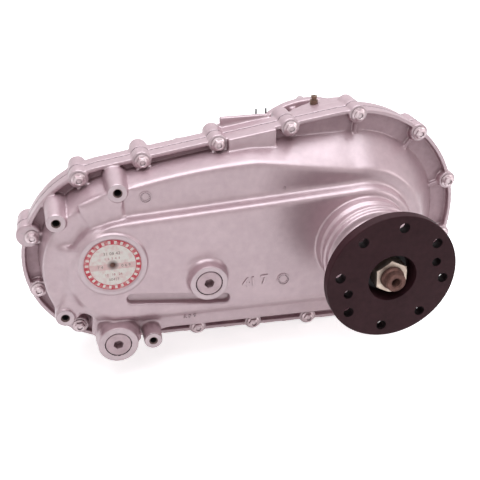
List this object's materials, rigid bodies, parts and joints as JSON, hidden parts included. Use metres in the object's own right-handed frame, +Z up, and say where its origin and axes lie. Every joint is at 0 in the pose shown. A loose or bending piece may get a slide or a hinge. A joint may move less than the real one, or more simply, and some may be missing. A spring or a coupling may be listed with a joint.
{
  "type": "vehicle transfer case",
  "caption": "Chain-driven two-speed transfer case with a ribbed cast casing, round rear output flange, offset front output and working planetary range gears.",
  "frame": {"origin": "on the main shaft axis, in the face that bolts to the gearbox", "axes": "+Y out of the case towards the gearbox, +Z up, -X towards the front output shaft"},
  "size_m": [0.4721, 0.316, 0.2582],
  "materials": {
    "cast_aluminium": "as cast, slightly glossy",
    "sealant": "cured sealant",
    "zinc_steel": "zinc plated",
    "plug_steel": "plated steel",
    "black_steel": "black phosphated",
    "nut_zinc": "yellow zinc plated",
    "shaft_steel": "bare steel with light rust at the end",
    "gear_steel": "machined and hardened",
    "bearing_steel": "ground steel",
    "bronze": "bearing bronze",
    "seal_rubber": "matte black",
    "label_print": "printed label, red and cream",
    "chain_steel": "oiled steel",
    "fork_alloy": "cast",
    "pump_iron": "machined iron",
    "tube_steel": "drawn tube",
    "strainer_plastic": "moulded",
    "magnet": "sintered",
    "switch_plastic": "moulded, dark"
  },
  "bodies": {
    "case": {"rear_case": "cast_aluminium", "front_case": "cast_aluminium", "case_gasket": "sealant", "case_bolts": "zinc_steel", "dowels": "gear_steel", "adapter_studs": "zinc_steel", "fill_plug": "plug_steel", "drain_plug": "plug_steel", "label": "label_print", "vent": "tube_steel", "position_switch": "switch_plastic", "ring_gear": "gear_steel", "input_bearing": "bearing_steel", "rear_output_bearing": "bearing_steel", "front_output_bearing": "bearing_steel", "front_tail_bearing": "bearing_steel", "input_seal": "seal_rubber", "rear_output_seal": "seal_rubber", "front_output_seal": "seal_rubber", "snap_rings": "bearing_steel", "chain": "chain_steel", "shift_rail": "bearing_steel", "selector_seal": "seal_rubber", "detent_plug": "plug_steel", "detent_plunger": "bearing_steel", "detent_spring": "bearing_steel", "pump_housing": "pump_iron", "pump_cover": "pump_iron", "pickup_tube": "tube_steel", "oil_strainer": "strainer_plastic", "chip_magnet": "magnet"},
    "rear_output": {"mainshaft": "shaft_steel", "output_flange": "black_steel", "flange_nut": "nut_zinc", "sealing_washer": "seal_rubber", "drive_sprocket": "gear_steel", "sprocket_bearing": "bronze", "range_hub": "gear_steel", "mode_hub": "gear_steel", "pump_rotor": "pump_iron", "rear_output_bearing_race": "bearing_steel"},
    "input": {"input_shaft": "gear_steel", "input_bearing_race": "bearing_steel", "pilot_bearing": "bearing_steel"},
    "front_output": {"front_output_shaft": "shaft_steel", "front_output_flange": "black_steel", "front_flange_nut": "nut_zinc", "front_output_bearing_race": "bearing_steel"},
    "planet_set": {"planet_carrier": "gear_steel", "planet_pins": "gear_steel"},
    "planet_1": {"planet_gear_1": "gear_steel"},
    "planet_2": {"planet_gear_2": "gear_steel"},
    "planet_3": {"planet_gear_3": "gear_steel"},
    "range_sleeve": {"range_collar": "gear_steel"},
    "mode_sleeve": {"mode_collar": "gear_steel"},
    "range_shift": {"range_fork": "fork_alloy"},
    "mode_shift": {"mode_fork": "fork_alloy"},
    "selector": {"selector_shaft": "bearing_steel", "shift_lever": "zinc_steel", "lever_nut": "zinc_steel"}
  },
  "joints": [
    {"name": "output_spin", "type": "hinge", "parent": "case", "child": "rear_output", "pos_m": [0, -0.2, 0], "axis": [0, 1, 0], "continuous": true},
    {"name": "input_spin", "type": "hinge", "parent": "case", "child": "input", "pos_m": [0, -0.04, 0], "axis": [0, 1, 0], "continuous": true},
    {"name": "front_output_spin", "type": "hinge", "parent": "case", "child": "front_output", "pos_m": [-0.256, -0.1, 0.005], "axis": [0, 1, 0], "continuous": true},
    {"name": "carrier_spin", "type": "hinge", "parent": "case", "child": "planet_set", "pos_m": [0, -0.051, 0], "axis": [0, 1, 0], "continuous": true},
    {"name": "planet_1_spin", "type": "hinge", "parent": "planet_set", "child": "planet_1", "pos_m": [0.04988, -0.051, 0], "axis": [0, 1, 0], "continuous": true},
    {"name": "planet_2_spin", "type": "hinge", "parent": "planet_set", "child": "planet_2", "pos_m": [-0.02494, -0.051, 0.04319], "axis": [0, 1, 0], "continuous": true},
    {"name": "planet_3_spin", "type": "hinge", "parent": "planet_set", "child": "planet_3", "pos_m": [-0.02494, -0.051, -0.04319], "axis": [0, 1, 0], "continuous": true},
    {"name": "selector_turn", "type": "hinge", "parent": "case", "child": "selector", "pos_m": [-0.128, -0.078, 0.07], "axis": [0, 0, -1], "range_deg": [0, 25]},
    {"name": "range_fork_slide", "type": "slide", "parent": "case", "child": "range_shift", "axis": [0, -1, 0], "range_m": [0, 0.012]},
    {"name": "range_collar_slide", "type": "slide", "parent": "rear_output", "child": "range_sleeve", "axis": [0, -1, 0], "range_m": [0, 0.012]},
    {"name": "mode_fork_slide", "type": "slide", "parent": "case", "child": "mode_shift", "axis": [0, 1, 0], "range_m": [0, 0.009]},
    {"name": "mode_collar_slide", "type": "slide", "parent": "rear_output", "child": "mode_sleeve", "axis": [0, 1, 0], "range_m": [0, 0.009]}
  ],
  "couplings": [
    {"joint": "input_spin", "follows": "output_spin", "ratio": 1},
    {"joint": "front_output_spin", "follows": "output_spin", "ratio": 1},
    {"joint": "carrier_spin", "follows": "output_spin", "ratio": 0.36842},
    {"joint": "planet_1_spin", "follows": "output_spin", "ratio": -1.7684},
    {"joint": "planet_2_spin", "follows": "output_spin", "ratio": -1.7684},
    {"joint": "planet_3_spin", "follows": "output_spin", "ratio": -1.7684},
    {"joint": "selector_turn", "follows": "range_fork_slide", "rad_per_m": 36.36},
    {"joint": "range_collar_slide", "follows": "range_fork_slide", "ratio": 1},
    {"joint": "mode_collar_slide", "follows": "mode_fork_slide", "ratio": 1}
  ]
}
